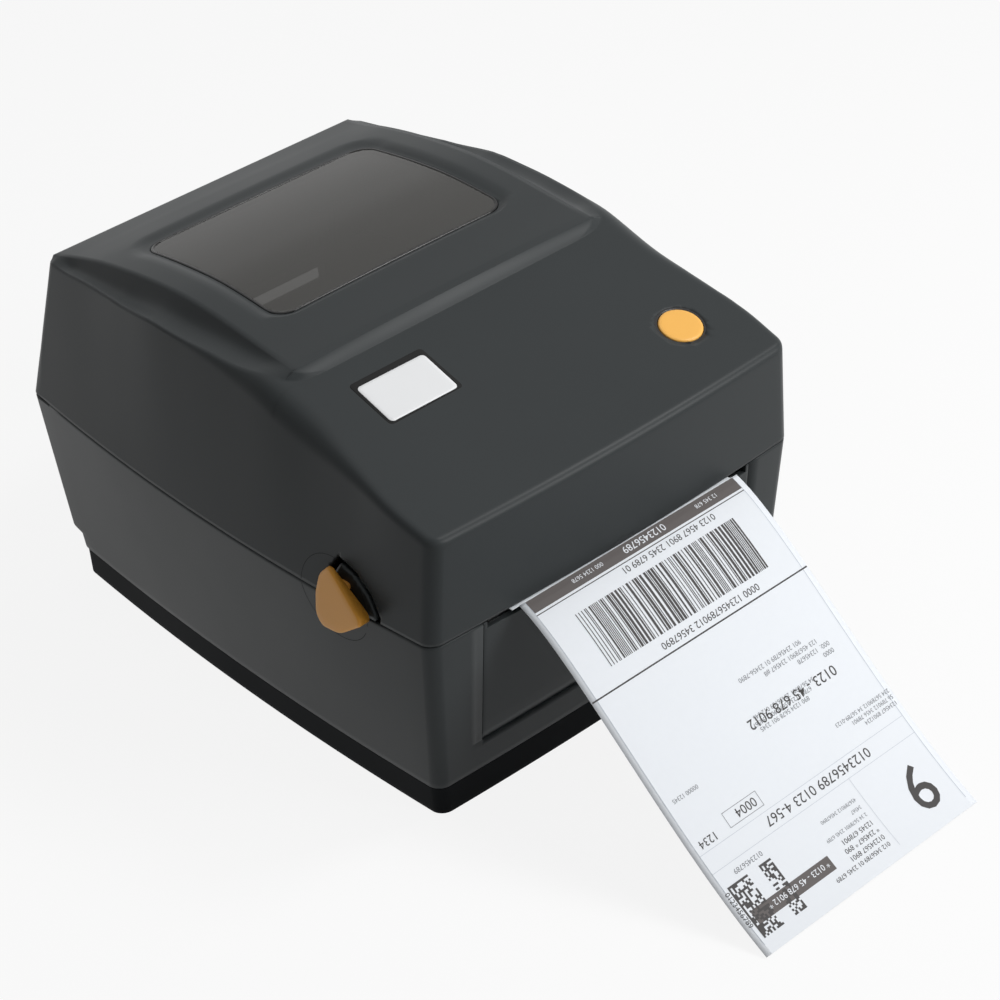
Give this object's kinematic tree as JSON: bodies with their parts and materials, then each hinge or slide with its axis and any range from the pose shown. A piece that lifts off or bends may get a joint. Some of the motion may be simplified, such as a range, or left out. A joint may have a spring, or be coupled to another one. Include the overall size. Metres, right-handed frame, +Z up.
{
  "type": "thermal label printer",
  "caption": "Desktop thermal label printer: hinged windowed cover with a feed button over a base with a label roll and geared platen, side release levers and a printed label at its front slot.",
  "frame": {"origin": "on the floor under the middle of the whole part's box, printed label included", "axes": "x to the right and y to the back as seen from the front, z up"},
  "size_m": [0.1972, 0.3585, 0.1518],
  "materials": {
    "housing": "fine moulded texture, satin",
    "bezel": "fine moulded texture, satin",
    "chassis": "matt moulded",
    "feet": "matt rubber",
    "steel": "ground steel",
    "zinc": "zinc plated",
    "bronze": "sintered bronze",
    "inner": "matt moulded",
    "motor": "black painted steel",
    "circuit": "green solder mask",
    "socket": "black moulded",
    "paper": "coated white label stock",
    "window": "smoked clear plastic",
    "sticker": "white satin film",
    "button_ring": "satin black",
    "button": "translucent amber",
    "lever": "satin orange",
    "rubber_roller": "ground rubber",
    "gear": "natural acetal",
    "ceramic": "glazed ceramic",
    "card": "wound card"
  },
  "bodies": {
    "base": {"bottom_chassis": "chassis", "lower_housing": "housing", "front_bezel": "bezel", "tear_bar": "steel", "rubber_feet": "feet", "chassis_screws": "zinc", "media_bay": "inner", "guide_rails": "steel", "side_frame_left": "zinc", "side_frame_right": "zinc", "platen_bushes": "bronze", "stepper_motor": "motor", "sensor_rail": "steel", "main_board": "circuit", "board_parts": "socket", "power_jack": "socket", "usb_port": "zinc", "switch_frame": "socket", "hinge_brackets": "inner", "hinge_pins": "steel", "label_web": "paper", "printed_label": "paper"},
    "cover": {"top_cover": "housing", "viewing_window": "window", "button_ring": "button_ring", "button_board": "circuit", "nameplate": "sticker", "head_bracket": "inner", "thermal_head": "ceramic", "head_springs": "steel", "catch_pins": "steel", "hinge_ears": "housing"},
    "button": {"feed_button": "button"},
    "latch": {"latch_shaft": "steel", "latch_lever_left": "lever", "latch_lever_right": "lever", "latch_hooks": "zinc"},
    "platen": {"platen_shaft": "steel", "platen_rubber": "rubber_roller", "platen_gear": "gear"},
    "idler": {"idler_gear": "gear"},
    "pinion": {"motor_pinion": "bronze"},
    "roll": {"label_roll": "paper", "roll_core": "card"},
    "left_guide": {"guide_left": "inner"},
    "right_guide": {"guide_right": "inner"},
    "guide_gear": {"guide_pinion": "gear"},
    "sensor": {"gap_sensor": "socket"},
    "rocker": {"power_rocker": "socket"}
  },
  "joints": [
    {"name": "cover_hinge", "type": "hinge", "parent": "base", "child": "cover", "pos_m": [0, 0.17525, 0.0845], "axis": [-1, 0, 0], "range_deg": [0, 90]},
    {"name": "feed_press", "type": "slide", "parent": "cover", "child": "button", "axis": [0, 0.2756, -0.9613], "range_m": [0, 0.0012], "stiffness_N_per_m": 300, "springref_m": -0.0006},
    {"name": "latch_pull", "type": "hinge", "parent": "base", "child": "latch", "pos_m": [0, -0.00525, 0.04], "axis": [1, 0, 0], "range_deg": [0, 10], "stiffness_Nm_per_rad": 1.2, "springref_deg": -6.88},
    {"name": "platen_spin", "type": "hinge", "parent": "base", "child": "platen", "pos_m": [0, -0.04925, 0.073], "axis": [1, 0, 0], "continuous": true},
    {"name": "idler_spin", "type": "hinge", "parent": "base", "child": "idler", "pos_m": [0, -0.03458, 0.05276], "axis": [1, 0, 0], "continuous": true},
    {"name": "motor_spin", "type": "hinge", "parent": "base", "child": "pinion", "pos_m": [0, -0.03125, 0.03], "axis": [1, 0, 0], "continuous": true},
    {"name": "roll_spin", "type": "hinge", "parent": "base", "child": "roll", "pos_m": [0, 0.07875, 0.07], "axis": [1, 0, 0], "continuous": true},
    {"name": "right_guide_slide", "type": "slide", "parent": "base", "child": "right_guide", "axis": [1, 0, 0], "range_m": [0, 0.006]},
    {"name": "left_guide_slide", "type": "slide", "parent": "base", "child": "left_guide", "axis": [1, 0, 0], "range_m": [-0.006, 0]},
    {"name": "guide_gear_spin", "type": "hinge", "parent": "base", "child": "guide_gear", "pos_m": [0, 0.07875, 0.015], "axis": [0, 0, 1], "range_deg": [-43.5, 0.5]},
    {"name": "sensor_slide", "type": "slide", "parent": "base", "child": "sensor", "axis": [1, 0, 0], "range_m": [-0.025, 0.025]},
    {"name": "rocker_tip", "type": "hinge", "parent": "base", "child": "rocker", "pos_m": [0, 0.17145, 0.036], "axis": [1, 0, 0], "range_deg": [0, 14]}
  ],
  "couplings": [
    {"joint": "idler_spin", "follows": "platen_spin", "ratio": -0.47059},
    {"joint": "motor_spin", "follows": "platen_spin", "ratio": 1.3333},
    {"joint": "left_guide_slide", "follows": "right_guide_slide", "ratio": -1},
    {"joint": "guide_gear_spin", "follows": "right_guide_slide", "rad_per_m": -125}
  ]
}
